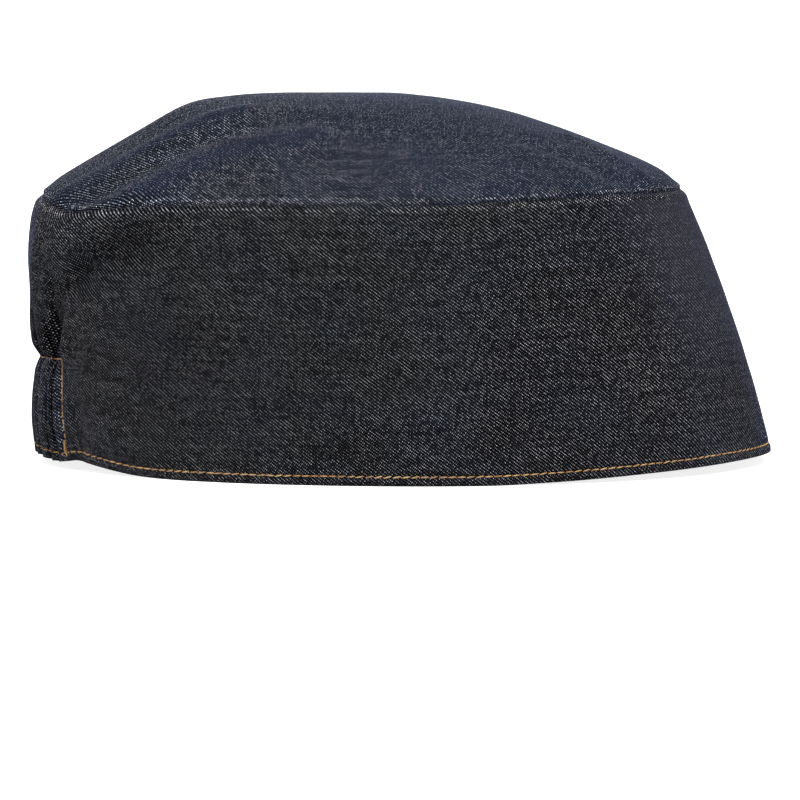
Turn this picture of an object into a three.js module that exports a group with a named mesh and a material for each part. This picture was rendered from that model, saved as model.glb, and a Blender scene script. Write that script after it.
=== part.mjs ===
// A chef's skull cap of dark denim: a domed oval crown panel sewn to a tapered band,
// with a short elastic casing drawn up in pleats at the bottom of the centre back.
// Millimetres. +X is the front, +Z is up, and the rim rests on z = 0.
import * as THREE from 'three';

// Driving sizes
const rimLength = 222.8;
const rimWidth = 156;
const seamLength = 194.8;
const seamWidth = 131;
const seamSetback = 13.3;
const seamHeight = 82;
const crownRise = 29.9;
const crownPeakSetback = 8;
const bandWall = 1.6;
const hemTurn = 0.5;
const hemHeight = 6;
const hemFullHeight = 4.2;
const crownWall = 1.2;
const casingWidth = 60;
const casingHeight = 31;
const casingWall = 2;
const pleatDepth = 2.5;
const sewingGap = 0.3;
const eggShare = 0.04;

// How far the rim lifts off the surface, the seam wanders and the casing's top line rises
// or falls, as shares of seamHeight. The turn goes along one side from the centre back, 0,
// to the centre front, 1.
const edgeLine = [
  { turn: 0, rim: 0.037, seam: -0.007, casing: -0.01 },
  { turn: 0.06, rim: 0.036, seam: -0.026, casing: 0.004 },
  { turn: 0.12, rim: 0.028, seam: -0.054, casing: 0.024 },
  { turn: 0.155, rim: 0.04, seam: -0.054, casing: 0.026 },
  { turn: 0.25, rim: 0.006, seam: -0.03, casing: 0.01 },
  { turn: 0.34, rim: 0, seam: -0.013, casing: 0 },
  { turn: 0.56, rim: 0, seam: -0.01, casing: 0 },
  { turn: 0.63, rim: 0.009, seam: -0.001, casing: 0 },
  { turn: 0.74, rim: 0.028, seam: 0.014, casing: 0 },
  { turn: 0.87, rim: 0.042, seam: 0.013, casing: 0 },
  { turn: 1, rim: 0.04, seam: 0.012, casing: 0 },
];

// The casing's pleats from the far side to the near side: widths are shares of the
// casing's width and depths are shares of pleatDepth.
const pleats = [
  { width: 0.063, depth: 0.7 },
  { width: 0.073, depth: 0.8 },
  { width: 0.137, depth: 1 },
  { width: 0.127, depth: 0.95 },
  { width: 0.107, depth: 0.9 },
  { width: 0.12, depth: 1 },
  { width: 0.11, depth: 0.9 },
  { width: 0.133, depth: 1 },
  { width: 0.07, depth: 0.8 },
  { width: 0.06, depth: 0.75 },
];

// How far the band stands out from the straight line between rim and seam,
// as shares of seamHeight, at shares of its height.
const bandSwell = [
  { height: 0, back: 0, side: 0, front: 0 },
  { height: 0.2, back: 0.004, side: 0.014, front: 0.018 },
  { height: 0.38, back: 0.006, side: 0.02, front: 0.025 },
  { height: 0.5, back: 0.02, side: 0.023, front: 0.027 },
  { height: 0.62, back: 0.038, side: 0.023, front: 0.025 },
  { height: 0.76, back: 0.048, side: 0.02, front: 0.021 },
  { height: 0.88, back: 0.044, side: 0.014, front: 0.014 },
  { height: 0.95, back: 0.03, side: 0.008, front: 0.009 },
  { height: 1, back: 0, side: 0, front: 0 },
];

// Rise of the crown from the seam, 0, to its peak, 1, as shares of crownRise.
const crownProfile = [
  { inward: 0, back: 0, side: 0, front: 0 },
  { inward: 0.06, back: 0.155, side: 0.165, front: 0.178 },
  { inward: 0.2, back: 0.405, side: 0.43, front: 0.408 },
  { inward: 0.35, back: 0.66, side: 0.645, front: 0.618 },
  { inward: 0.5, back: 0.893, side: 0.805, front: 0.8 },
  { inward: 0.65, back: 0.973, side: 0.915, front: 0.925 },
  { inward: 0.8, back: 0.995, side: 0.976, front: 0.985 },
  { inward: 1, back: 1, side: 1, front: 1 },
];

// Soft folds of the band, from one point to another by turn and height. A negative turn
// is on the other side. Reach and depth are shares of seamHeight, and a negative depth
// is a hollow.
const bandFolds = [
  { turn: 0.27, height: 1.0, toTurn: 0.16, toHeight: 0.8, reach: 0.085, depth: -0.036 },
  { turn: 0.155, height: 0.8, toTurn: 0.098, toHeight: 0.42, reach: 0.05, depth: -0.032 },
  { turn: 0.155, height: 0.62, toTurn: 0.14, toHeight: 0.42, reach: 0.045, depth: 0.014 },
  { turn: 0.08, height: 0.86, toTurn: 0.05, toHeight: 0.5, reach: 0.08, depth: 0.01 },
  { turn: 0.153, height: 0.02, toTurn: 0.16, toHeight: 0.2, reach: 0.04, depth: -0.014 },
  { turn: 0.3, height: 0.5, toTurn: 0.24, toHeight: 0.25, reach: 0.12, depth: -0.008 },
  { turn: 0.72, height: 0.98, toTurn: 0.78, toHeight: 0.6, reach: 0.1, depth: -0.008 },
  { turn: -0.25, height: 1.0, toTurn: -0.165, toHeight: 0.78, reach: 0.085, depth: -0.032 },
  { turn: -0.16, height: 0.78, toTurn: -0.105, toHeight: 0.42, reach: 0.055, depth: -0.028 },
  { turn: -0.17, height: 0.6, toTurn: -0.15, toHeight: 0.4, reach: 0.05, depth: 0.01 },
  { turn: -0.1, height: 0.84, toTurn: -0.08, toHeight: 0.5, reach: 0.08, depth: 0.01 },
  { turn: -0.16, height: 0.02, toTurn: -0.165, toHeight: 0.2, reach: 0.04, depth: -0.012 },
  { turn: -0.7, height: 0.95, toTurn: -0.6, toHeight: 0.5, reach: 0.12, depth: -0.01 },
];

// Soft folds of the crown, between points given as shares of half seamLength and of
// half seamWidth from the middle of the seam. Reach and depth are shares of seamHeight.
const crownFolds = [
  { x: -0.98, y: -0.28, toX: -0.36, toY: -0.36, reach: 0.05, depth: 0.012 },
  { x: -0.82, y: -0.66, toX: -0.12, toY: -0.66, reach: 0.06, depth: 0.012 },
  { x: -0.9, y: -0.48, toX: -0.2, toY: -0.5, reach: 0.05, depth: -0.01 },
  { x: 0.64, y: -0.26, toX: 0.88, toY: -0.4, reach: 0.035, depth: 0.012 },
  { x: 0.5, y: -0.5, toX: 0.8, toY: -0.56, reach: 0.045, depth: -0.01 },
  { x: -0.94, y: 0.3, toX: -0.4, toY: 0.4, reach: 0.05, depth: 0.012 },
  { x: -0.8, y: 0.62, toX: -0.2, toY: 0.7, reach: 0.06, depth: 0.01 },
  { x: 0.6, y: 0.3, toX: 0.86, toY: 0.42, reach: 0.04, depth: 0.01 },
];

// Soft changes, as shares of the band's height, the casing's height or the way inward
const foldsEnd = 0.93;
const casingLineEnd = 0.9;
const foldsAboveStrength = 0.7;
const foldsAboveGrowth = 0.06;
const foldsAboveReach = 0.3;
const pleatsAtRim = 0.45;
const pleatsStart = 0.08;
const pleatsRate = 0.95;
const pinchStart = 0.86;
const pinchStrength = 0.8;
const seamWanderReach = 0.7;
const crownFoldsStart = 0.05;

// Fineness of the surfaces
const bandRows = [0.16, 0.25];
const bandRowsAbove = [0.5, 0.59, 0.68, 0.77, 0.86, 0.95];
const firstRowAbove = 0.05;
const crownRows = [0, 0.03, 0.08, 0.15, 0.24, 0.34, 0.43, 0.52, 0.63, 0.78, 1];
const nearPeak = 0.97;
const smallStep = 1e-3;
const hair = 1e-6;
const foldedTurn = 0.28;
const foldedColumns = 12;
const plainColumns = 44;
const columnsPerPleat = 6;
const columnsPerFold = 4;
const casingRows = 7;

const smoothstep = THREE.MathUtils.smoothstep;
const lerp = THREE.MathUtils.lerp;

// The value of a column of a table, on a smooth curve through its rows.
function along(table, key, column, at) {
  const last = table.length - 1;
  let row = 0;
  while (row < last - 1 && table[row + 1][key] < at) {
    row += 1;
  }
  const slope = (i) => {
    const before = table[Math.max(i - 1, 0)];
    const after = table[Math.min(i + 1, last)];
    return (after[column] - before[column]) / (after[key] - before[key]);
  };
  const start = table[row];
  const end = table[row + 1];
  const span = end[key] - start[key];
  const share = THREE.MathUtils.clamp((at - start[key]) / span, 0, 1);
  const level = start[column] === end[column];
  const leave = level ? 0 : slope(row) * span;
  const arrive = level ? 0 : slope(row + 1) * span;
  const square = share * share;
  const cube = square * share;
  return (
    start[column] * (2 * cube - 3 * square + 1) +
    leave * (cube - 2 * square + share) +
    end[column] * (3 * square - 2 * cube) +
    arrive * (cube - square)
  );
}

// How much a turn counts as back, side and front.
function directionShares(turn) {
  const ahead = -Math.cos(Math.PI * turn);
  return {
    back: Math.max(-ahead, 0) ** 2,
    front: Math.max(ahead, 0) ** 2,
    side: 1 - ahead ** 2,
  };
}

function blended(table, key, at, turn) {
  const share = directionShares(turn);
  return (
    share.back * along(table, key, 'back', at) +
    share.side * along(table, key, 'side', at) +
    share.front * along(table, key, 'front', at)
  );
}

// A point of an oval in plan: turn 0 is the centre back, 0.5 the near side at -Y,
// 1 the centre front and -0.5 the far side.
function ovalPoint(length, width, middle, turn) {
  const ahead = -Math.cos(Math.PI * turn);
  const aside = -Math.sin(Math.PI * turn);
  return new THREE.Vector2(
    middle + (length / 2) * ahead,
    (width / 2) * aside * (1 + eggShare * ahead),
  );
}

// The rim's middle lies ahead of the origin, which is under the middle of the whole length.
const rimMiddle = 1.7;
const seamMiddle = rimMiddle - seamSetback;

// Arc length along the rim for one whole turn unit at a given turn.
function rimLengthPerTurn(turn) {
  const before = ovalPoint(rimLength, rimWidth, rimMiddle, turn - smallStep);
  const after = ovalPoint(rimLength, rimWidth, rimMiddle, turn + smallStep);
  return before.distanceTo(after) / (2 * smallStep);
}

// The turn that lies a given arc length along the rim from the centre back.
function turnAtArc(arc) {
  let turn = 0;
  let gone = 0;
  while (gone + rimLengthPerTurn(turn) * smallStep < arc) {
    gone += rimLengthPerTurn(turn) * smallStep;
    turn += smallStep;
  }
  return turn + (arc - gone) / rimLengthPerTurn(turn);
}

const halfGirth = (Math.PI * (rimLength + rimWidth)) / 4;
const casingTurn = turnAtArc(casingWidth / 2);
const casingTop = casingHeight / seamHeight;
const rimLift = (turn) => seamHeight * along(edgeLine, 'turn', 'rim', Math.abs(turn));
const seamWander = (turn) => seamHeight * along(edgeLine, 'turn', 'seam', Math.abs(turn));
const casingRise = (turn) => seamHeight * along(edgeLine, 'turn', 'casing', Math.abs(turn));

// A soft ridge or hollow along a straight line in a plane, measured in millimetres.
function foldHeight(point, start, end, reach, depth) {
  const line = end.clone().sub(start);
  const share = point.clone().sub(start).dot(line) / line.lengthSq();
  const nearest = start.clone().addScaledVector(line, THREE.MathUtils.clamp(share, 0, 1));
  const away = point.distanceTo(nearest) / reach;
  return depth * Math.exp(-(away ** 2));
}

function bandFoldHeight(turn, height) {
  const place = (t, h) => new THREE.Vector2(t * halfGirth, h * seamHeight);
  const point = place(turn, height);
  let sum = 0;
  for (const fold of bandFolds) {
    sum += foldHeight(
      point,
      place(fold.turn, fold.height),
      place(fold.toTurn, fold.toHeight),
      fold.reach * seamHeight,
      fold.depth * seamHeight,
    );
  }
  return sum * (1 - smoothstep(height, foldsEnd, 1));
}

// Where each pleat starts and ends across the casing, from 0 on the far side to 1.
function pleatEdges() {
  const whole = pleats.reduce((sum, pleat) => sum + pleat.width, 0);
  const edges = [0];
  for (const pleat of pleats) {
    edges.push(edges[edges.length - 1] + pleat.width / whole);
  }
  return edges;
}

const edgesOfPleats = pleatEdges();

// Height of the pleats across the casing: round on top and sharp between.
function pleatRoll(across) {
  let number = 0;
  while (number < pleats.length - 1 && edgesOfPleats[number + 1] <= across) {
    number += 1;
  }
  const start = edgesOfPleats[number];
  const local = (across - start) / (edgesOfPleats[number + 1] - start);
  return pleats[number].depth * Math.sin(Math.PI * THREE.MathUtils.clamp(local, 0, 1));
}

// The folds that rise from the pleats into the band above the casing and fade out.
function foldsAbove(turn, height) {
  const across = (turn / casingTurn + 1) / 2;
  if (across <= 0 || across >= 1) {
    return 0;
  }
  const grown = casingTop + foldsAboveGrowth;
  const grow = smoothstep(height, casingTop, grown);
  const fade = 1 - smoothstep(height, grown, casingTop + foldsAboveReach);
  return foldsAboveStrength * pleatDepth * pleatRoll(across) * grow * fade;
}

// Outside of the band before its folds, at a turn and a share of its height.
function bandBase(turn, height) {
  const rim = ovalPoint(rimLength, rimWidth, rimMiddle, turn);
  const seam = ovalPoint(seamLength, seamWidth, seamMiddle, turn);
  const plan = rim.lerp(seam, height);
  const above = smoothstep(height, casingTop, casingLineEnd);
  const nearCasingTop = smoothstep(height, 0, casingTop) * (1 - above);
  const level =
    seamHeight * height +
    lerp(rimLift(turn), seamWander(turn), height) +
    casingRise(turn) * nearCasingTop;
  return new THREE.Vector3(plan.x, plan.y, level);
}

// The direction straight out from the oval, in plan.
function outward(turn, height) {
  const before = bandBase(turn - smallStep, height);
  const after = bandBase(turn + smallStep, height);
  return new THREE.Vector3(after.y - before.y, before.x - after.x, 0).normalize();
}

function swell(turn, height) {
  return seamHeight * blended(bandSwell, 'height', height, turn);
}

function bandOutside(turn, height) {
  const out = swell(turn, height) + bandFoldHeight(turn, height) + foldsAbove(turn, height);
  return bandBase(turn, height).addScaledVector(outward(turn, height), out);
}

function bandInside(turn, height) {
  const hem = hemTurn * (1 - smoothstep(height * seamHeight, hemFullHeight, hemHeight));
  const inward = -(bandWall + hem);
  return bandOutside(turn, height).addScaledVector(outward(turn, height), inward);
}

// The casing follows the band's base and stops a sewing gap short of it all round.
const casingEdgeTurn = casingTurn - sewingGap / rimLengthPerTurn(casingTurn);

// The pleats are drawn in along the rim and more along the seam on top.
function pleatHeight(turn, height) {
  const across = THREE.MathUtils.clamp((turn / casingEdgeTurn + 1) / 2, 0, 1);
  const up = height / casingTop;
  const halfWave = Math.sin(Math.PI * Math.min(up * pleatsRate + pleatsStart, 1));
  const swollen = pleatsAtRim + (1 - pleatsAtRim) * halfWave;
  const pinched = 1 - pinchStrength * smoothstep(up, pinchStart, 1);
  return pleatDepth * pleatRoll(across) * swollen * pinched;
}

function casingBase(turn, height) {
  const out = swell(turn, height) + bandFoldHeight(turn, height);
  return bandBase(turn, height).addScaledVector(outward(turn, height), out);
}

function casingOutside(turn, height) {
  return casingBase(turn, height).addScaledVector(
    outward(turn, height),
    pleatHeight(turn, height),
  );
}

function casingInside(turn, height) {
  const half = pleatHeight(turn, height) / 2;
  return casingBase(turn, height).addScaledVector(outward(turn, height), half - casingWall);
}

// Outside of the crown, from the seam, inward 0, to its peak, inward 1.
function crownOutside(turn, inward) {
  const edge = ovalPoint(seamLength, seamWidth, seamMiddle, turn);
  const peak = new THREE.Vector2(seamMiddle - crownPeakSetback, 0);
  const plan = edge.lerp(peak, inward);
  const rise = crownRise * blended(crownProfile, 'inward', inward, turn);
  const wander = seamWander(turn) * (1 - smoothstep(inward, 0, seamWanderReach));
  return new THREE.Vector3(plan.x, plan.y, seamHeight + rise + wander + crownFoldHeight(plan, inward));
}

function crownFoldHeight(plan, inward) {
  const place = (x, y) => new THREE.Vector2(seamMiddle + (x * seamLength) / 2, (y * seamWidth) / 2);
  let sum = 0;
  for (const fold of crownFolds) {
    sum += foldHeight(
      plan,
      place(fold.x, fold.y),
      place(fold.toX, fold.toY),
      fold.reach * seamHeight,
      fold.depth * seamHeight,
    );
  }
  return sum * smoothstep(inward, 0, crownFoldsStart);
}

function crownNormal(turn, inward) {
  const at = Math.min(inward, nearPeak);
  const lower = Math.max(at - smallStep, 0);
  const around = crownOutside(turn + smallStep, at).sub(crownOutside(turn - smallStep, at));
  const up = crownOutside(turn, at + smallStep).sub(crownOutside(turn, lower));
  return around.cross(up).normalize();
}

// The crown's edge is cut level, so that it lies on the band's edge all round.
function crownInside(turn, inward) {
  const outside = crownOutside(turn, inward);
  if (inward === 0) {
    return outside.addScaledVector(outward(turn, 1), -crownWall);
  }
  return outside.addScaledVector(crownNormal(turn, inward), -crownWall);
}

// A closed shell over a grid of cells: an outside, an inside, and walls along every edge.
// Where the last row is a single point it closes like the top of a dome.
function shellGeometry({ columns, rows, outside, inside, present, around, closedTop }) {
  const positions = [];
  const faces = [];
  const rowTotal = rows.length;
  const across = columns.length;
  const index = { outer: [], inner: [] };
  const layers = [
    ['outer', outside],
    ['inner', inside],
  ];
  for (const [layer, surface] of layers) {
    for (let i = 0; i < across; i += 1) {
      for (let j = 0; j < rowTotal; j += 1) {
        const atTop = closedTop && j === rowTotal - 1;
        if (atTop && i > 0) {
          index[layer].push(index[layer][rowTotal - 1]);
        } else {
          index[layer].push(positions.length / 3);
          positions.push(...surface(columns[i], rows[j]).toArray());
        }
      }
    }
  }
  const vertex = (layer, i, j) => index[layer][(i % across) * rowTotal + j];
  const addTriangle = (a, b, c) => {
    if (a !== b && b !== c && c !== a) {
      faces.push(a, b, c);
    }
  };
  const addQuad = (a, b, c, d) => {
    addTriangle(a, b, c);
    addTriangle(a, c, d);
  };
  const cellsAcross = around ? across : across - 1;
  const cellsUp = rowTotal - 1;
  const filled = (i, j) => {
    if (j < 0 || j >= cellsUp || (!around && (i < 0 || i >= cellsAcross))) {
      return false;
    }
    const column = (i + cellsAcross) % cellsAcross;
    return present(columns[column], rows[j], column, j);
  };
  const addWall = (i, j, toI, toJ) => {
    addQuad(
      vertex('outer', i, j),
      vertex('inner', i, j),
      vertex('inner', toI, toJ),
      vertex('outer', toI, toJ),
    );
  };
  for (let i = 0; i < cellsAcross; i += 1) {
    for (let j = 0; j < cellsUp; j += 1) {
      if (filled(i, j)) {
        addQuad(
          vertex('outer', i, j),
          vertex('outer', i + 1, j),
          vertex('outer', i + 1, j + 1),
          vertex('outer', i, j + 1),
        );
        addQuad(
          vertex('inner', i, j),
          vertex('inner', i, j + 1),
          vertex('inner', i + 1, j + 1),
          vertex('inner', i + 1, j),
        );
        if (!filled(i, j - 1)) {
          addWall(i, j, i + 1, j);
        }
        if (!filled(i, j + 1) && !(closedTop && j === cellsUp - 1)) {
          addWall(i + 1, j + 1, i, j + 1);
        }
        if (!filled(i - 1, j)) {
          addWall(i, j + 1, i, j);
        }
        if (!filled(i + 1, j)) {
          addWall(i + 1, j, i + 1, j + 1);
        }
      }
    }
  }
  return compacted(positions, faces);
}

// Keeps only the points that a face uses.
function compacted(positions, faces) {
  const renumbered = new Map();
  const kept = [];
  const indices = faces.map((old) => {
    if (!renumbered.has(old)) {
      renumbered.set(old, kept.length / 3);
      kept.push(...positions.slice(old * 3, old * 3 + 3));
    }
    return renumbered.get(old);
  });
  const geometry = new THREE.BufferGeometry();
  geometry.setAttribute('position', new THREE.Float32BufferAttribute(kept, 3));
  geometry.setIndex(indices);
  geometry.computeVertexNormals();
  return geometry;
}

function evenly(from, to, count) {
  return Array.from({ length: count }, (_, i) => lerp(from, to, i / count));
}

// Turns from -reach to just short of reach, with the same number in each pleat.
function turnsOfPleats(reach, perPleat) {
  const place = (across) => reach * (2 * across - 1);
  return pleats.flatMap((_, i) =>
    evenly(place(edgesOfPleats[i]), place(edgesOfPleats[i + 1]), perPleat),
  );
}

// Turns all the way round: fine over the casing and beside it, where the cloth is folded,
// and coarser along the plain sides and the front.
const roundTurns = [
  ...turnsOfPleats(casingTurn, columnsPerFold),
  ...evenly(casingTurn, foldedTurn, foldedColumns),
  ...evenly(foldedTurn, 2 - foldedTurn, plainColumns),
  ...evenly(2 - foldedTurn, 2 - casingTurn, foldedColumns),
];
const wrapped = (turn) => (turn > 1 ? turn - 2 : turn);
const overBack = (turn) => turn > -casingTurn - hair && turn < casingTurn - hair;

function sideBandGeometry() {
  const edgeShare = sewingGap / 2 / seamHeight;
  const rows = [
    0,
    hemFullHeight / seamHeight,
    hemHeight / seamHeight,
    ...bandRows,
    casingTop,
    casingTop + firstRowAbove,
    ...bandRowsAbove,
    1 - edgeShare,
  ];
  return shellGeometry({
    columns: roundTurns,
    rows,
    outside: (turn, height) => bandOutside(wrapped(turn), height),
    inside: (turn, height) => bandInside(wrapped(turn), height),
    present: (turn, height) => !(overBack(turn) && height < casingTop - hair),
    around: true,
    closedTop: false,
  });
}

function topPanelGeometry() {
  const raised = (point) => point.add(new THREE.Vector3(0, 0, sewingGap / 2));
  return shellGeometry({
    columns: roundTurns,
    rows: crownRows,
    outside: (turn, inward) => raised(crownOutside(wrapped(turn), inward)),
    inside: (turn, inward) => raised(crownInside(wrapped(turn), inward)),
    present: () => true,
    around: true,
    closedTop: true,
  });
}

function gatheredBackGeometry() {
  const top = casingTop - sewingGap / seamHeight;
  return shellGeometry({
    columns: [...turnsOfPleats(casingEdgeTurn, columnsPerPleat), casingEdgeTurn],
    rows: [...evenly(0, top, casingRows), top],
    outside: casingOutside,
    inside: casingInside,
    present: () => true,
    around: false,
    closedTop: false,
  });
}

const bandDenim = new THREE.MeshStandardMaterial({ color: 0x2c2c32, roughness: 0.88, metalness: 0 });
const crownDenim = new THREE.MeshStandardMaterial({ color: 0x353a4a, roughness: 0.85, metalness: 0 });

function pieceMesh(name, geometry, material) {
  const mesh = new THREE.Mesh(geometry, material);
  mesh.name = name;
  return mesh;
}

const skullCap = new THREE.Group();
skullCap.add(pieceMesh('side_band', sideBandGeometry(), bandDenim));
skullCap.add(pieceMesh('top_panel', topPanelGeometry(), crownDenim));
skullCap.add(pieceMesh('gathered_back', gatheredBackGeometry(), bandDenim.clone()));

export default skullCap;
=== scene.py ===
# A chef's skull cap of dark denim: a tapered band, a domed crown panel, an elastic casing drawn up
# in pleats at the back, and tan topstitching. It rests on its rim on a pale floor.
import math
import bmesh
import bpy
from mathutils import Matrix, Vector, noise


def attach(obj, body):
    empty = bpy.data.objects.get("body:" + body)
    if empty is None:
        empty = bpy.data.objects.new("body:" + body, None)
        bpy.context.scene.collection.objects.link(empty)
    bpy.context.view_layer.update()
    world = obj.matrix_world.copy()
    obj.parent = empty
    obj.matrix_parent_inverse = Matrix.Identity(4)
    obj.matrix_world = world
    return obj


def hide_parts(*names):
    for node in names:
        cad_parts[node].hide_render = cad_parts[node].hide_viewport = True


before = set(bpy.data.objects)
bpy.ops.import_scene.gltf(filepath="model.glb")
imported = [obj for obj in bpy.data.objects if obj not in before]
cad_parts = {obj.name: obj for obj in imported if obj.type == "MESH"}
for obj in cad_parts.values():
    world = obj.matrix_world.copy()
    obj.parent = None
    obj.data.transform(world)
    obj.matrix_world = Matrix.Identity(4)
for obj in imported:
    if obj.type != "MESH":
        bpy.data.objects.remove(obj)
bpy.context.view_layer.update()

# Setting
# The cap is seen square from its side and a little from above, through a long lens, on a plain
# pale floor, under a broad soft light overhead, with a soft panel at each side and one behind.
aim = Vector((0.0, 0.0, 0.0183))
camera_distance = 1.8
camera_height = 0.182
view_width = 0.244
sensor_width_mm = 36.0

drop = camera_height - aim.z
camera_data = bpy.data.cameras.new("side_view")
camera_data.sensor_width = sensor_width_mm
camera_data.lens = sensor_width_mm * camera_distance / view_width
camera = bpy.data.objects.new("side_view", camera_data)
camera.location = aim + Vector((0.0, -math.sqrt(camera_distance**2 - drop**2), drop))
camera.rotation_euler = (aim - camera.location).to_track_quat("-Z", "Y").to_euler()
bpy.context.scene.collection.objects.link(camera)
bpy.context.scene.camera = camera
bpy.context.scene.view_settings.view_transform = "Standard"


def linked_object(name, mesh):
    """A new object that holds a mesh, in the scene."""
    obj = bpy.data.objects.new(name, mesh)
    bpy.context.scene.collection.objects.link(obj)
    return obj


floor_reach = 14.0
floor_mesh = bpy.data.meshes.new("floor")
floor_corners = [(x * floor_reach, y * floor_reach, 0) for x, y in ((-1, -1), (1, -1), (1, 1), (-1, 1))]
floor_mesh.from_pydata(floor_corners, [], [(0, 1, 2, 3)])
floor = linked_object("floor", floor_mesh)

# The camera sees a near-white floor, and the cap gets less light back from it than that.
floor_material = bpy.data.materials.new("pale_floor")
floor_material.use_nodes = True
floor_tree = floor_material.node_tree
seen_floor = floor_tree.nodes["Principled BSDF"]
seen_floor.inputs["Base Color"].default_value = (0.5, 0.5, 0.5, 1)
seen_floor.inputs["Roughness"].default_value = 0.9
seen_floor.inputs["Specular IOR Level"].default_value = 0.1
seen_floor.inputs["Emission Color"].default_value = (1.0, 1.0, 1.0, 1)
seen_floor.inputs["Emission Strength"].default_value = 0.84
lighting_floor = floor_tree.nodes.new("ShaderNodeBsdfDiffuse")
lighting_floor.inputs["Color"].default_value = (0.24, 0.24, 0.24, 1)
floor_ray = floor_tree.nodes.new("ShaderNodeLightPath")
floor_mix = floor_tree.nodes.new("ShaderNodeMixShader")
floor_tree.links.new(floor_ray.outputs["Is Camera Ray"], floor_mix.inputs["Fac"])
floor_tree.links.new(lighting_floor.outputs[0], floor_mix.inputs[1])
floor_tree.links.new(seen_floor.outputs[0], floor_mix.inputs[2])
floor_tree.links.new(floor_mix.outputs[0], floor_tree.nodes["Material Output"].inputs["Surface"])
floor_mesh.materials.append(floor_material)

world = bpy.data.worlds.new("soft_room")
world.use_nodes = True
room_light = world.node_tree.nodes["Background"]
room_light.inputs["Color"].default_value = (1.0, 1.0, 1.0, 1)
room_light.inputs["Strength"].default_value = 0.35
bpy.context.scene.world = world

key_data = bpy.data.lights.new("softened_key", "SUN")
key_data.energy = 3.9
key_data.angle = math.radians(40)
key_light = bpy.data.objects.new("softened_key", key_data)
key_light.rotation_euler = (math.radians(38), math.radians(8), 0)
bpy.context.scene.collection.objects.link(key_light)

panel_size = 0.9
panel_aim = Vector((0.0, 0.0, 0.05))
panels = [
    ("left_panel", (-0.95, -0.22, 0.42), 2.6),
    ("right_panel", (0.95, -0.22, 0.42), 2.4),
    ("back_panel", (-0.15, 1.2, 0.42), 6.5),
]
for name, place, watts in panels:
    panel_data = bpy.data.lights.new(name, "AREA")
    panel_data.energy = watts
    panel_data.size = panel_size
    panel = bpy.data.objects.new(name, panel_data)
    panel.location = place
    panel.rotation_euler = (panel_aim - panel.location).to_track_quat("-Z", "Y").to_euler()
    bpy.context.scene.collection.objects.link(panel)

# Side band
# The tapered wall of the cap: two layers of the same denim, sewn together at the rim and turned.
# Its cloth lies smooth at the side and folds towards the elastic at the back.
rim_length = 0.2228
rim_width = 0.156
seam_length = 0.1948
seam_width = 0.131
seam_setback = 0.0133
seam_height = 0.082
rim_middle = 0.0017
seam_middle = rim_middle - seam_setback
egg_share = 0.04
band_wall = 0.0015
casing_width = 0.060
casing_flare = 0.0020
casing_height = 0.031
pleat_depth = 0.0025


def as_table(columns, *rows):
    """A table: for each row, its values under the columns' names."""
    return [dict(zip(columns.split(), row)) for row in rows]


# How far the rim lifts off the floor, the seam wanders and the casing's top line rises or falls,
# as shares of seam_height, from the centre back, turn 0, to the centre front, turn 1.
edge_line = as_table(
    "turn rim seam casing",
    (0.0, 0.037, -0.007, -0.010),
    (0.06, 0.036, -0.026, 0.004),
    (0.12, 0.028, -0.054, 0.024),
    (0.155, 0.040, -0.054, 0.026),
    (0.25, 0.006, -0.030, 0.010),
    (0.34, 0.0, -0.013, 0.0),
    (0.56, 0.0, -0.010, 0.0),
    (0.63, 0.009, -0.001, 0.0),
    (0.74, 0.028, 0.014, 0.0),
    (0.87, 0.042, 0.013, 0.0),
    (1.0, 0.040, 0.012, 0.0),
)

# How far the band stands out from a straight wall, as shares of seam_height.
band_swell = as_table(
    "height back side front",
    (0.0, 0.0, 0.0, 0.0),
    (0.2, 0.004, 0.014, 0.018),
    (0.38, 0.006, 0.020, 0.025),
    (0.5, 0.020, 0.023, 0.027),
    (0.62, 0.038, 0.023, 0.025),
    (0.76, 0.048, 0.020, 0.021),
    (0.88, 0.044, 0.014, 0.014),
    (0.95, 0.030, 0.008, 0.009),
    (1.0, 0.0, 0.0, 0.0),
)

# Folds of the band, from one turn and height to another. Reach and depth are shares of
# seam_height, and a negative depth is a hollow. A negative turn is on the far side.
band_folds = as_table(
    "start end reach depth",
    ((0.26, 0.88), (0.19, 0.76), 0.08, -0.034),
    ((0.175, 0.74), (0.1, 0.42), 0.062, -0.028),
    ((0.155, 0.62), (0.14, 0.42), 0.04, 0.024),
    ((0.118, 0.72), (0.108, 0.42), 0.03, -0.026),
    ((0.835, 0.97), (0.785, 0.1), 0.05, 0.009),
    ((0.08, 0.86), (0.05, 0.5), 0.08, 0.01),
    ((0.153, 0.02), (0.16, 0.2), 0.04, -0.014),
    ((0.3, 0.5), (0.24, 0.25), 0.12, -0.008),
    ((0.72, 0.98), (0.78, 0.6), 0.1, -0.008),
    ((-0.25, 1.0), (-0.165, 0.78), 0.085, -0.032),
    ((-0.16, 0.78), (-0.105, 0.42), 0.055, -0.028),
    ((-0.17, 0.6), (-0.15, 0.4), 0.05, 0.01),
    ((-0.1, 0.84), (-0.08, 0.5), 0.08, 0.01),
    ((-0.16, 0.02), (-0.165, 0.2), 0.04, -0.012),
    ((-0.7, 0.95), (-0.6, 0.5), 0.12, -0.01),
)

# Widths of the casing's pleats from the far side to the near side, as shares of the casing,
# and depths as shares of pleat_depth. The folds above the casing rise from them.
pleats = as_table(
    "width depth",
    (0.063, 0.7),
    (0.073, 0.8),
    (0.137, 1.0),
    (0.127, 0.95),
    (0.107, 0.9),
    (0.12, 1.0),
    (0.11, 0.9),
    (0.133, 1.0),
    (0.07, 0.8),
    (0.06, 0.75),
)


def clamp(value, low=0.0, high=1.0):
    """The value, kept between two limits."""
    return max(low, min(high, value))


def smoothstep(value, low, high):
    """A smooth ramp from 0 at low to 1 at high."""
    share = clamp((value - low) / (high - low))
    return share * share * (3 - 2 * share)


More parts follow.
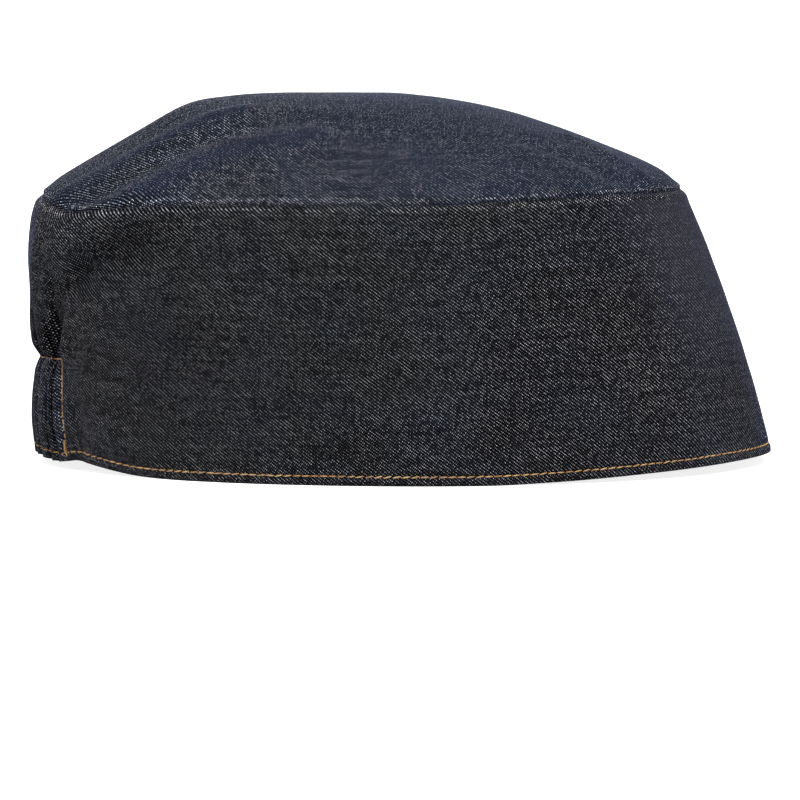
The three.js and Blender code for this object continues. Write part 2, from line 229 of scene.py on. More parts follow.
def lerp(start, end, share):
    """The value a share of the way from start to end."""
    return start + (end - start) * share


def along(table, key, column, at):
    """The value of a column of a table, on a smooth curve through its rows."""
    last = len(table) - 1
    row = 0
    while row < last - 1 and table[row + 1][key] < at:
        row += 1

    def slope(i):
        before = table[max(i - 1, 0)]
        after = table[min(i + 1, last)]
        return (after[column] - before[column]) / (after[key] - before[key])

    start, end = table[row], table[row + 1]
    span = end[key] - start[key]
    share = clamp((at - start[key]) / span)
    level = start[column] == end[column]
    leave = 0.0 if level else slope(row) * span
    arrive = 0.0 if level else slope(row + 1) * span
    square = share * share
    cube = square * share
    return (
        start[column] * (2 * cube - 3 * square + 1)
        + leave * (cube - 2 * square + share)
        + end[column] * (3 * square - 2 * cube)
        + arrive * (cube - square)
    )


def blended(table, key, at, turn):
    """A table's value at a turn, mixed from its back, side and front columns."""
    ahead = -math.cos(math.pi * turn)
    back = max(-ahead, 0.0) ** 2
    front = max(ahead, 0.0) ** 2
    return (
        back * along(table, key, "back", at)
        + (1 - ahead**2) * along(table, key, "side", at)
        + front * along(table, key, "front", at)
    )


def oval_point(length, width, middle, turn):
    """A point of an oval in plan, from the centre back, turn 0, by the near side, turn 0.5."""
    ahead = -math.cos(math.pi * turn)
    aside = -math.sin(math.pi * turn)
    return Vector((middle + length / 2 * ahead, width / 2 * aside * (1 + egg_share * ahead)))


def rim_length_per_turn(turn):
    """Arc length along the rim for a whole turn unit."""
    step = 1e-3
    before = oval_point(rim_length, rim_width, rim_middle, turn - step)
    after = oval_point(rim_length, rim_width, rim_middle, turn + step)
    return (after - before).length / (2 * step)


def turn_at_arc(arc):
    """The turn that lies an arc length along the rim from the centre back."""
    step = 1e-3
    turn = 0.0
    gone = 0.0
    while gone + rim_length_per_turn(turn) * step < arc:
        gone += rim_length_per_turn(turn) * step
        turn += step
    return turn + (arc - gone) / rim_length_per_turn(turn)


half_girth = math.pi * (rim_length + rim_width) / 4
arc_steps = 400


def middle_arcs():
    """Turns all the way round, each with its arc length from the centre back at middle height."""
    length = (rim_length + seam_length) / 2
    width = (rim_width + seam_width) / 2
    table = [(0.0, 0.0)]
    for i in range(arc_steps):
        start = oval_point(length, width, 0.0, 2 * i / arc_steps)
        end = oval_point(length, width, 0.0, 2 * (i + 1) / arc_steps)
        table.append((2 * (i + 1) / arc_steps, table[-1][1] + (end - start).length))
    return table


arcs = middle_arcs()


def arc_at(turn):
    """Arc length along the middle of the band from the centre back to a turn."""
    number = min(int(abs(turn) * arc_steps / 2), arc_steps - 1)
    start, end = arcs[number], arcs[number + 1]
    return math.copysign(lerp(start[1], end[1], (abs(turn) - start[0]) / (end[0] - start[0])), turn)


casing_turn = turn_at_arc(casing_width / 2)
side_metres = rim_length_per_turn(casing_turn)
casing_top = casing_height / seam_height
flare_turn = casing_flare / side_metres
flare_end = 0.3


def leaned(turn, height):
    """The turn at a height, where the casing's ends lean outwards towards the rim."""
    away = abs(turn)
    if away <= casing_turn:
        weight = away / casing_turn
    else:
        weight = 1 - smoothstep(away, casing_turn, flare_end)
    low = 1 - smoothstep(height, 0.0, 0.5 * casing_top)
    return turn + math.copysign(flare_turn * weight * low, turn)


def near(distance, reach):
    """1 on a line, and less the further away, about a third at the reach."""
    return math.exp(-((distance / reach) ** 2))


def relief(lines, distance):
    """Height of rolls and grooves that run along an edge, at a distance in from it."""
    return sum(line["height"] * near(distance - line["away"], line["reach"]) for line in lines)


def folds_height(folds, point, size, middle):
    """Height at a point in a plane of soft ridges and hollows along straight lines, whose ends are
    given as shares of a size, from a middle."""
    total = 0.0
    for fold in folds:
        start = middle + Vector(fold["start"]) * size
        line = middle + Vector(fold["end"]) * size - start
        share = clamp((point - start).dot(line) / line.length_squared)
        away = (point - start - line * share).length
        total += fold["depth"] * seam_height * near(away, fold["reach"] * seam_height)
    return total


def wrapped(turn):
    """The turn between -1 and 1 of a place that was counted on past the front."""
    return turn - 2 if turn > 1 else turn


folds_end = 0.93


def band_fold_height(turn, height):
    """Height of all the band's folds at a place."""
    size = Vector((half_girth, seam_height))
    total = folds_height(band_folds, Vector((turn, height)) * size, size, Vector((0.0, 0.0)))
    return total * (1 - smoothstep(height, folds_end, 1.0))


def pleat_edges():
    """Where each pleat starts and ends, from 0 on the far side to 1."""
    whole = sum(pleat["width"] for pleat in pleats)
    edges = [0.0]
    for pleat in pleats:
        edges.append(edges[-1] + pleat["width"] / whole)
    return edges


edges_of_pleats = pleat_edges()


def pleat_roll(across):
    """Height of the pleats across the casing, round on top and sharp between."""
    number = 0
    while number < len(pleats) - 1 and edges_of_pleats[number + 1] <= across:
        number += 1
    start = edges_of_pleats[number]
    local = (across - start) / (edges_of_pleats[number + 1] - start)
    return pleats[number]["depth"] * math.sin(math.pi * clamp(local))


# The sharp creases between the pleats, in metres, and the width of the painted shade along them.
crease_depth = 0.0026
crease_width = 0.0009
crease_shade_width = 0.0018


def across_casing(turn):
    """How far across the casing a turn lies, from 0 on the far side to 1."""
    return (turn / casing_turn + 1) / 2


def near_crease(across, width):
    """How near a place across the casing is to a line between two pleats, 1 on the line."""
    nearest = min(abs(across - edge) for edge in edges_of_pleats[1:-1]) * casing_width
    return near(nearest, width)


# How far up the band the pleats' folds and creases run, and how strong they are there, as shares.
fold_growth = 0.06
fold_reach = 0.3
fold_share = 0.7
crease_reach = 0.22
crease_share = 0.8


def folds_above(turn, height):
    """The folds that rise from the pleats into the band and fade out."""
    across = across_casing(turn)
    if across <= 0 or across >= 1:
        return 0.0
    grow = smoothstep(height, casing_top, casing_top + fold_growth)
    fade = 1 - smoothstep(height, casing_top + fold_growth, casing_top + fold_reach)
    crease_fade = 1 - smoothstep(height, casing_top, casing_top + crease_reach)
    folds = fold_share * pleat_depth * pleat_roll(across) * grow * fade
    return folds - crease_share * crease_depth * near_crease(across, crease_width) * crease_fade


def edge_value(column, turn):
    """A column of the edge line at a turn, in metres."""
    return seam_height * along(edge_line, "turn", column, abs(turn))


def seam_point(turn):
    """A point of the seam in plan, at a turn."""
    return oval_point(seam_length, seam_width, seam_middle, turn)


casing_line_end = 0.9


def band_base(turn, height):
    """Outside of the band before its swell and folds. The casing's top line moves it as well, less
    and less up to casing_line_end and down to the rim."""
    at = leaned(turn, height)
    rim = oval_point(rim_length, rim_width, rim_middle, at)
    plan = rim.lerp(seam_point(at), height)
    above = 1 - smoothstep(height, casing_top, casing_line_end)
    near_casing_top = smoothstep(height, 0.0, casing_top) * above
    level = (
        seam_height * height
        + lerp(edge_value("rim", at), edge_value("seam", at), height)
        + edge_value("casing", at) * near_casing_top
    )
    return Vector((plan.x, plan.y, level))


def outward(turn, height):
    """The direction straight out of the oval, in plan."""
    step = 1e-3
    before = band_base(turn - step, height)
    after = band_base(turn + step, height)
    return Vector((after.y - before.y, before.x - after.x, 0)).normalized()


# The small waves that the cloth keeps, in metres, and where they start and end up the band.
broad_wave = dict(length=0.030, width=0.022, rise=0.00030)
small_wave = dict(length=0.011, width=0.008, rise=0.00010)
waves_start = 0.1
waves_end = 0.96


def cloth_unevenness(place, seed):
    """The small waves that cloth keeps, at a place in metres over the cloth."""

    def wave(length, width, rise, seed):
        return rise * noise.noise(Vector((place[0] / length, place[1] / width, seed)))

    return wave(**broad_wave, seed=seed) + wave(**small_wave, seed=seed + 7)


# The stitches' groove and the turned rim, up from the rim, and the cloth's tuck and roll, down from
# the seam, in metres.
hem_stitch_height = 0.0027
hem_groove_width = 0.0004
rim_lines = as_table(
    "away reach height",
    (hem_stitch_height, hem_groove_width, -0.00030),
    (0.0014, 0.0008, 0.00022),
)
seam_lines = as_table(
    "away reach height",
    (0.0, 0.0009, -0.0007),
    (0.0022, 0.0012, 0.00025),
)

# Where the flecks are brighter: a painted highlight on the roll at the seam, and brighter flecks towards
# the back; and where a painted bluish sheen covers the weave, at the front.
roll_place = 0.0012
roll_reach = 0.0006
back_brightening = 0.25
back_brightening_turns = (0.12, 0.32)
front_painted_sheen = (0.12, 0.5)
front_painted_sheen_turns = (0.74, 0.86)
front_painted_sheen_heights = (0.2, 0.8)


def seam_patches(turn, length, middle, spread, seed):
    """A share that comes and goes along the seam, in patches of a length in metres."""
    return clamp(middle + spread * noise.noise(Vector((turn * half_girth / length, *seed))))


def band_fleck_light_and_painted_sheen(turn, height):
    """Brighter flecks: a painted highlight on the roll of the band's edge at the seam, and brighter
    flecks towards the back; below 0, a painted bluish sheen that covers the weave at the front."""
    below_seam = (1 - height) * seam_height
    away = abs(wrapped(turn))
    # Painted sheen: a flat bluish colour covers the flecks at the front, where the cloth turns away.
    painted_sheen = smoothstep(away, *front_painted_sheen_turns) * lerp(*front_painted_sheen, smoothstep(height, *front_painted_sheen_heights))
    brightened = (1 - smoothstep(away, *back_brightening_turns)) * back_brightening
    # Painted highlight: brighter flecks along the roll at the seam, whose top catches the light.
    on_roll = near(below_seam - roll_place, roll_reach)
    return seam_patches(turn, 0.012, 0.6, 0.8, seed=(2.0, 9.0)) * on_roll + brightened - painted_sheen


# Painted shade: its strength in fold hollows, the hollow's depth in metres where it is full, and the
# heights above the casing top, in metres, over which the painted shade along the creases fades.
fold_painted_shade = 0.6
shaded_depth = 0.0032
crease_shade_end = (0.004, 0.02)


def band_painted_shade(turn, height):
    """Painted shade, darker the deeper a place lies in a fold's hollow, and along the creases above the
    casing.
    """
    turn = wrapped(turn)
    hollow = fold_painted_shade * clamp(-band_fold_height(turn, height) / shaded_depth)
    across = across_casing(turn)
    if across <= 0 or across >= 1:
        return hollow
    above = (height - casing_top) * seam_height
    return max(hollow, near_crease(across, crease_shade_width) * (1 - smoothstep(above, *crease_shade_end)))


stitch_pull = 0.0006
pull_reach = 0.0009


def casing_edge_groove(turn, height):
    """How the stitches round the casing pull the cloth in, beside it and above it."""
    arc = (abs(turn) - casing_turn) * side_metres
    above = (height - casing_top) * seam_height
    return -stitch_pull * near(math.hypot(max(arc, 0.0), max(above, 0.0)), pull_reach)


def band_surface(turn, height):
    """Outside of the band, at a turn from -1 to 1 and a share of its height."""
    level = height * seam_height
    wavy = (1 - smoothstep(height, waves_end, 1.0)) * smoothstep(height, 0, waves_start)
    out = (
        seam_height * blended(band_swell, "height", height, turn)
        + band_fold_height(turn, height)
        + folds_above(turn, height)
        + relief(rim_lines, level)
        + relief(seam_lines, seam_height - level)
        + casing_edge_groove(turn, height)
        + cloth_unevenness((turn * half_girth, level), 3.0) * wavy
    )
    return band_base(turn, height) + outward(turn, height) * out


def piecewise(table, at):
    """The value on straight lines through a table of from and to."""
    for before, after in zip(table, table[1:]):
        if at <= after[0]:
            return lerp(before[1], after[1], clamp((at - before[0]) / (after[0] - before[0])))
    return table[-1][1]


def cloth_sheet(columns, rows, turns, heights, surface, cloth_of, fleck_light_and_painted_sheen, painted_shade, left_out=None):
    """A sheet of cloth: a grid whose points are moved onto a surface, with a map of the flat cloth
    and marks for its brighter flecks and painted sheen, and for its painted shade in creases and hollows."""

    def place_of(point):
        """The turn and the height, or the way inward, of a point of the unit grid."""
        return piecewise(turns, point.x + 0.5), piecewise(heights, point.y + 0.5)

    bm = bmesh.new()
    cloth = bm.loops.layers.uv.new("UVMap")
    fleck_and_sheen_mark = bm.verts.layers.float.new("fleck_light_and_painted_sheen")
    painted_shade_mark = bm.verts.layers.float.new("painted_shade")
    bmesh.ops.create_grid(bm, x_segments=columns, y_segments=rows, size=0.5)
    if left_out:
        gone = [face for face in bm.faces if left_out(*place_of(face.calc_center_median()))]
        bmesh.ops.delete(bm, geom=gone, context="FACES")
    for face in bm.faces:
        for loop in face.loops:
            loop[cloth].uv = cloth_of(*place_of(loop.vert.co))
    for vertex in bm.verts:
        place = place_of(vertex.co)
        vertex[fleck_and_sheen_mark] = fleck_light_and_painted_sheen(*place)
        vertex[painted_shade_mark] = painted_shade(*place)
        vertex.co = surface(*place)
    return bm


# How far the flat cloth shifts at the back and the front, in metres, and between which turns, and
# how softly the lean is made good near the ends.
back_ease = 0.005
back_turns = (0.10, 0.34)
front_ease = 0.004
front_turns = (0.74, 0.92)
near_ends = 0.1


def shift(turn, turns):
    """A count that rises by one between two turns and again between the same on the far side."""
    low, high = turns
    return smoothstep(turn, low, high) + smoothstep(turn, 2 - high, 2 - low)


def band_cloth(turn, height):
    """The place on the flat cloth, whose grain stays upright where the band leans back and whose
    picks lie a little wider towards the back and the front."""
    aside = math.sin(math.pi * turn)
    ahead = -math.cos(math.pi * turn)
    lean = seam_middle - rim_middle + (seam_length - rim_length) / 2 * ahead
    straightened = lean * (height - 0.5) * (1 + near_ends) * aside / (aside**2 + near_ends)
    shifts = back_ease * shift(turn, back_turns) + front_ease * shift(turn, front_turns)
    return arc_at(turn) + straightened - shifts, height * seam_height


# The grid's columns and rows, and where shares of them lie: closer over the casing, along the hem
# and at the seam.
band_columns = 420
band_rows = 84
casing_columns_each_side = 50
band_turns = [
    (0.0, 0.0),
    (casing_columns_each_side / band_columns, casing_turn),
    (1 - casing_columns_each_side / band_columns, 2 - casing_turn),
    (1.0, 2.0),
]
hem_zone = 0.0042
seam_zone = 0.003
band_heights = [
    (0.0, 0.0),
    (12 / band_rows, hem_zone / seam_height),
    (36 / band_rows, casing_top),
    (74 / band_rows, 1 - seam_zone / seam_height),
    (1.0, 1.0),
]


def in_notch(turn, height):
    """Whether a place lies where the casing takes the band's place."""
    return (turn < casing_turn or turn > 2 - casing_turn) and height < casing_top


band_bm = cloth_sheet(
    band_columns,
    band_rows,
    band_turns,
    band_heights,
    surface=lambda turn, height: band_surface(wrapped(turn), height),
    cloth_of=band_cloth,
    fleck_light_and_painted_sheen=band_fleck_light_and_painted_sheen,
    painted_shade=band_painted_shade,
    left_out=in_notch,
)


def finish_cloth(name, bm, wall, edge_round, materials, inside_material=0):
    """Closes a sheet where its ends meet, gives it its wall and rounds its edges."""
    bmesh.ops.remove_doubles(bm, verts=bm.verts, dist=1e-6)
    bmesh.ops.recalc_face_normals(bm, faces=bm.faces)
    for face in bm.faces:
        face.smooth = True
    mesh = bpy.data.meshes.new(name)
    bm.to_mesh(mesh)
    bm.free()
    for material in materials:
        mesh.materials.append(material)
    piece = linked_object(name, mesh)
    wall_modifier = piece.modifiers.new("wall", "SOLIDIFY")
    wall_modifier.thickness = wall
    wall_modifier.offset = -1
    wall_modifier.use_even_offset = False
    wall_modifier.material_offset = inside_material
    edge_modifier = piece.modifiers.new("edge", "BEVEL")
    edge_modifier.width = edge_round
    edge_modifier.segments = 3
    edge_modifier.limit_method = "ANGLE"
    edge_modifier.angle_limit = math.radians(50)
    edge_modifier.use_clamp_overlap = True
    return piece


def calc(tree, operation, *terms):
    """The output of a new math node over sockets and numbers."""
    node = tree.nodes.new("ShaderNodeMath")
    node.operation = operation
    for socket, term in zip(node.inputs, terms):
        if isinstance(term, (int, float)):
            socket.default_value = term
        else:
            tree.links.new(term, socket)
    return node.outputs[0]


def mixed_colour(tree, share, first, second):
    """The output of a new colour mix node, over sockets and plain colours."""
    node = tree.nodes.new("ShaderNodeMix")
    node.data_type = "RGBA"
    colours = [socket for socket in node.inputs if socket.type == "RGBA"]
    for socket, term in zip((node.inputs[0], *colours), (share, first, second)):
        if isinstance(term, tuple):
            socket.default_value = (*term, 1)
        else:
            tree.links.new(term, socket)
    return next(socket for socket in node.outputs if socket.type == "RGBA")


def ramp(tree, value, low, high):
    """A smooth ramp of a value from 0 at low to 1 at high."""
    node = tree.nodes.new("ShaderNodeMapRange")
    node.interpolation_type = "SMOOTHSTEP"
    tree.links.new(value, node.inputs["Value"])
    node.inputs["From Min"].default_value = low
    node.inputs["From Max"].default_value = high
    return node.outputs["Result"]


def noise_node(tree, vector, scale, detail=2.0, dimensions="3D"):
    """A noise texture over a vector: its node, for its value and colour."""
    node = tree.nodes.new("ShaderNodeTexNoise")
    node.noise_dimensions = dimensions
    node.inputs["Scale"].default_value = scale
    node.inputs["Detail"].default_value = detail
    tree.links.new(vector, node.inputs["Vector"])
    return node


def make_twill_group():
    """Two-and-one twill: dark lengthwise ends over two picks, and a pale pick that shows as a fleck
    on every third end, with uneven yarns. Places are in metres over the flat cloth."""
    tree = bpy.data.node_groups.new("twill_weave", "ShaderNodeTree")
    sockets = [
        ("Place", "Vector", "INPUT"),
        ("End Pitch", "Float", "INPUT"),
        ("Pick Pitch", "Float", "INPUT"),
        ("Warp Colour", "Color", "INPUT"),
        ("Blue Patch Colour", "Color", "INPUT"),
        ("Weft Colour", "Color", "INPUT"),
        ("Fleck", "Float", "INPUT"),
        ("Streak", "Float", "INPUT"),
        ("Unevenness", "Float", "INPUT"),
        ("Colour", "Color", "OUTPUT"),
        ("Roughness", "Float", "OUTPUT"),
    ]
    for name, kind, way in sockets:
        tree.interface.new_socket(name=name, in_out=way, socket_type="NodeSocket" + kind)
    given = tree.nodes.new("NodeGroupInput").outputs
    result = tree.nodes.new("NodeGroupOutput").inputs
    link = tree.links.new

    def op(operation, *terms):
        """The output of a new math node in the group."""
        return calc(tree, operation, *terms)

    def scaled(vector, factor):
        """A vector or colour times a number or a value."""
        node = tree.nodes.new("ShaderNodeVectorMath")
        node.operation = "SCALE"
        link(vector, node.inputs[0])
        if isinstance(factor, int):
            node.inputs["Scale"].default_value = factor
        else:
            link(factor, node.inputs["Scale"])
        return node.outputs[0]

    def joined(x, y):
        """A vector from two values."""
        node = tree.nodes.new("ShaderNodeCombineXYZ")
        link(x, node.inputs["X"])
        link(y, node.inputs["Y"])
        return node.outputs[0]

    def wandering(vector, scale, amount):
        """The place moved by a soft noise, as yarns wander."""
        soft = noise_node(tree, vector, scale, detail=1.0)
        centred = tree.nodes.new("ShaderNodeVectorMath")
        centred.operation = "SUBTRACT"
        centred.inputs[1].default_value = (0.5, 0.5, 0.5)
        link(soft.outputs["Color"], centred.inputs[0])
        moved = tree.nodes.new("ShaderNodeVectorMath")
        moved.operation = "MULTIPLY_ADD"
        moved.inputs[1].default_value = (amount, amount, 0)
        link(centred.outputs[0], moved.inputs[0])
        link(vector, moved.inputs[2])
        return moved.outputs[0]

    # In millimetres, yarns wander by up to 0.3 over some 20, and by less than a tenth of a pitch
    # over some 2.
    millimetres = scaled(given["Place"], 1000)
    place = wandering(wandering(millimetres, 0.05, 0.6), 0.45, 0.05)
    split = tree.nodes.new("ShaderNodeSeparateXYZ")
    link(place, split.inputs[0])
    picks = op("DIVIDE", split.outputs["X"], op("MULTIPLY", given["Pick Pitch"], 1000))
    ends = op("DIVIDE", split.outputs["Y"], op("MULTIPLY", given["End Pitch"], 1000))

    # A pick shows on every third end, one end further on with each pick: that is the diagonal.
    pick_number = op("FLOOR", picks)
    end_number = op("FLOOR", ends)
    across = op("SUBTRACT", picks, pick_number)
    up = op("SUBTRACT", ends, end_number)
    on_top = op("LESS_THAN", op("FLOORED_MODULO", op("ADD", pick_number, end_number), 3), 0.5)

    # Each fleck has its own chance. It is a soft oval, with its half width and half height given
    # as shares of a pitch, as its middle and its wandering are.
    half_width, half_height = 0.26, 0.44
    middle, wander = 0.6, 0.2
    chance = tree.nodes.new("ShaderNodeTexWhiteNoise")
    chance.noise_dimensions = "2D"
    link(joined(pick_number, end_number), chance.inputs["Vector"])
    luck = op("POWER", chance.outputs["Value"], given["Unevenness"])
    side = op("DIVIDE", op("SUBTRACT", op("MULTIPLY_ADD", luck, wander, across), middle), half_width)
    rise = op("DIVIDE", op("SUBTRACT", up, 0.5), half_height)
    away = op("SQRT", op("ADD", op("MULTIPLY", side, side), op("MULTIPLY", rise, rise)))
    fleck = op("MULTIPLY", ramp(tree, away, 1.05, 0.6), on_top)

    # Slubs run along each end and each pick, and soft patches lie over both.
    end_place = joined(op("MULTIPLY", split.outputs["X"], 0.03), op("MULTIPLY", end_number, 0.4))
    end_slubs = noise_node(tree, end_place, 1.0, detail=1.0, dimensions="2D")
    pick_place = joined(op("MULTIPLY", pick_number, 0.71), op("MULTIPLY", split.outputs["Y"], 0.07))
    pick_slubs = noise_node(tree, pick_place, 1.0, detail=1.0, dimensions="2D")
    mottle = noise_node(tree, millimetres, 0.12, detail=3.0)
    streak = op("MULTIPLY", op("SUBTRACT", end_slubs.outputs["Fac"], 0.5), given["Streak"])
    patch = op("MULTIPLY", op("SUBTRACT", mottle.outputs["Fac"], 0.5), 0.3)

    # Painted shading makes an end lightest along its middle and darker at its edges, as a round yarn is
    # lit, and a fleck is as light as its chance and slubs say.
    end_shading = op("SINE", op("MULTIPLY", up, math.pi))
    uneven = op("ADD", op("ADD", streak, patch), 1.0)
    warp_tone_and_shading = op("MULTIPLY", op("MULTIPLY_ADD", end_shading, 0.5, 0.55), uneven)
    gain = op("MULTIPLY_ADD", given["Unevenness"], 0.8, 0.8)
    pick_light = op("MULTIPLY_ADD", pick_slubs.outputs["Fac"], 0.9, 0.55)
    chance_light = op("MULTIPLY", op("MULTIPLY_ADD", luck, gain, 0.2), pick_light)
    end_light = op("MULTIPLY", op("MULTIPLY_ADD", streak, 0.8, 1.0), given["Fleck"])
    weft_light = op("MULTIPLY", chance_light, end_light)

    broad = noise_node(tree, millimetres, 0.035)
    blue_share = ramp(tree, broad.outputs["Fac"], 0.42, 0.66)
    warp = mixed_colour(tree, blue_share, given["Warp Colour"], given["Blue Patch Colour"])
    weft = scaled(given["Weft Colour"], weft_light)
    link(mixed_colour(tree, fleck, scaled(warp, warp_tone_and_shading), weft), result["Colour"])
    link(op("MULTIPLY_ADD", mottle.outputs["Fac"], 0.12, 0.76), result["Roughness"])
    return tree


twill_weave = make_twill_group()
end_pitch = 0.000338
pick_pitch = 0.000446
brightening_gain = 1.6
# How far the painted shade darkens the denim towards black.
painted_shade_strength = 0.9


def denim_material(name, warp, blue_patch, weft, painted_sheen, fleck, streak, unevenness, sheen, sheen_tint):
    """Denim from the twill group, with a soft blue sheen, brighter flecks where its fleck mark is
    above 0, a painted bluish sheen colour where that mark is below 0, and painted shade to black."""
    material = bpy.data.materials.new(name)
    material.use_nodes = True
    tree = material.node_tree
    link = tree.links.new
    shader = tree.nodes["Principled BSDF"]

    def mark(name):
        """A value that the cloth's points carry."""
        node = tree.nodes.new("ShaderNodeAttribute")
        node.attribute_name = name
        return node.outputs["Fac"]

    cloth_map = tree.nodes.new("ShaderNodeUVMap")
    cloth_map.uv_map = "UVMap"
    weave = tree.nodes.new("ShaderNodeGroup")
    weave.node_tree = twill_weave
    link(cloth_map.outputs[0], weave.inputs["Place"])
    weave.inputs["End Pitch"].default_value = end_pitch
    weave.inputs["Pick Pitch"].default_value = pick_pitch
    for yarn, colour in (("Warp", warp), ("Blue Patch", blue_patch), ("Weft", weft)):
        weave.inputs[yarn + " Colour"].default_value = (*colour, 1)
    weave.inputs["Streak"].default_value = streak
    weave.inputs["Unevenness"].default_value = unevenness
    fleck_light_and_painted_sheen = mark("fleck_light_and_painted_sheen")
    brightened = calc(tree, "MAXIMUM", fleck_light_and_painted_sheen, 0.0)
    sheen_share = calc(tree, "MAXIMUM", calc(tree, "MULTIPLY", fleck_light_and_painted_sheen, -1.0), 0.0)
    link(calc(tree, "MULTIPLY_ADD", brightened, brightening_gain * fleck, fleck), weave.inputs["Fleck"])
    # Painted sheen: the colour goes towards a flat bluish sheen colour where the mark is below 0.
    with_painted_sheen = mixed_colour(tree, sheen_share, weave.outputs["Colour"], painted_sheen)
    # Painted shade: the colour goes towards black where the cloth's painted-shade mark is high.
    painted_dark = calc(tree, "MULTIPLY", mark("painted_shade"), painted_shade_strength)
    link(mixed_colour(tree, painted_dark, with_painted_sheen, (0.0, 0.0, 0.0)), shader.inputs["Base Color"])
    link(weave.outputs["Roughness"], shader.inputs["Roughness"])
    shader.inputs["Specular IOR Level"].default_value = 0.03
    shader.inputs["Sheen Weight"].default_value = sheen
    shader.inputs["Sheen Roughness"].default_value = 0.28
    shader.inputs["Sheen Tint"].default_value = (*sheen_tint, 1)
    return material


band_denim = denim_material(
    "band_denim",
    warp=(0.0024, 0.0024, 0.0036),
    blue_patch=(0.0028, 0.0036, 0.0072),
    weft=(0.28, 0.28, 0.30),
    painted_sheen=(0.036, 0.037, 0.054),
    fleck=1.0,
    streak=1.7,
    unevenness=1.5,
    sheen=0.09,
    sheen_tint=(0.34, 0.46, 1.0),
)
side_band = finish_cloth("denim_side_band", band_bm, band_wall, 0.0005, [band_denim])
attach(side_band, "root")
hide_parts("side_band")

# Crown panel
# The oval top of the cap: one layer of denim, sewn to the band all round with its edge turned
# inside. Its cloth is full at the back, where it stands up in a slope with soft folds.
crown_rise = 0.0299
crown_peak_setback = 0.008
crown_wall = 0.0011
seam_line_gap = 0.0003

# Rise of the crown from the seam, inward 0, to its peak, inward 1, as shares of crown_rise.
crown_profile = as_table(
    "inward back side front",
    (0.0, 0.0, 0.0, 0.0),
    (0.06, 0.155, 0.165, 0.178),
    (0.2, 0.405, 0.43, 0.408),
    (0.35, 0.66, 0.645, 0.618),
    (0.5, 0.893, 0.805, 0.8),
    (0.65, 0.973, 0.915, 0.925),
    (0.8, 0.995, 0.976, 0.985),
    (1.0, 1.0, 1.0, 1.0),
)

# Folds of the crown between points given as shares of half the seam's length and width.
crown_folds = as_table(
    "start end reach depth",
    ((-0.98, -0.28), (-0.36, -0.36), 0.05, 0.020),
    ((-0.82, -0.66), (-0.12, -0.66), 0.06, 0.020),
    ((-0.9, -0.48), (-0.2, -0.5), 0.05, -0.016),
    ((0.64, -0.26), (0.88, -0.4), 0.035, 0.016),
    ((0.5, -0.5), (0.8, -0.56), 0.045, -0.014),
    ((-0.94, 0.3), (-0.4, 0.4), 0.05, 0.012),
    ((-0.8, 0.62), (-0.2, 0.7), 0.06, 0.01),
    ((0.6, 0.3), (0.86, 0.42), 0.04, 0.01),
)


crown_folds_start = 0.05


def crown_fold_height(plan, inward):
    """Height of all the crown's folds at a place in plan."""
    half = Vector((seam_length / 2, seam_width / 2))
    total = folds_height(crown_folds, plan, half, Vector((seam_middle, 0.0)))
    return total * smoothstep(inward, 0.0, crown_folds_start)


crown_peak = Vector((seam_middle - crown_peak_setback, 0.0))
wander_end = 0.7


def crown_base(turn, inward):
    """Outside of the crown before its folds."""
    plan = seam_point(turn).lerp(crown_peak, inward)
    rise = crown_rise * blended(crown_profile, "inward", inward, turn)
    wander = edge_value("seam", turn) * (1 - smoothstep(inward, 0.0, wander_end))
    return Vector((plan.x, plan.y, seam_height + seam_line_gap / 2 + rise + wander))


# The roll and the tuck of the crown's edge, in from the seam, in metres.
crown_edge_lines = as_table(
    "away reach height",
    (0.0013, 0.0011, 0.00035),
    (0.0, 0.0006, -0.0008),
)
crown_waves_start = 0.08


def from_crown_seam(turn, inward):
    """How far in from the seam a place of the crown lies, in metres, seen from above."""
    return (seam_point(turn) - crown_peak).length * inward


def crown_surface(turn, inward):
    """Outside of the crown, rolled over and tucked in along the seam."""
    base = crown_base(turn, inward)
    plan = base.xy
    uneven = cloth_unevenness(plan, 11.0) * smoothstep(inward, 0.0, crown_waves_start)
    lift = Vector((0, 0, crown_fold_height(plan, inward) + uneven))
    return base + lift + outward(turn, 1.0) * relief(crown_edge_lines, from_crown_seam(turn, inward))


map_columns = 120
map_rows = 60
least_step = 1e-9


def slope_lengths():
    """How far places lie from the cap's middle line along the slope across the crown, for turns
    and ways inward."""
    table = []
    for i in range(map_columns + 1):
        turn = wrapped(2 * i / map_columns)
        out = outward(turn, 1.0)
        column = [0.0]
        before = crown_base(turn, 1.0)
        for j in range(map_rows - 1, -1, -1):
            after = crown_base(turn, j / map_rows)
            step = after - before
            slope = step.z / max(step.x * out.x + step.y * out.y, least_step)
            column.insert(0, column[0] + step.y * math.hypot(1, slope * out.y))
            before = after
        table.append(column)
    return table


slope_table = slope_lengths()


def slope_length(turn, inward):
    """The distance from the middle line at a place, from the table."""
    across = turn / 2 * map_columns
    up = inward * map_rows
    i = min(int(across), map_columns - 1)
    j = min(int(up), map_rows - 1)
    low = lerp(slope_table[i][j], slope_table[i][j + 1], up - j)
    high = lerp(slope_table[i + 1][j], slope_table[i + 1][j + 1], up - j)
    return lerp(low, high, across - i)


# How much cloth lies along the cap and across it, and how far its grain bends, as shares.
slope_stretch = 1.1
eased = 0.96
most_bent = 0.45
cap_ends = 0.98


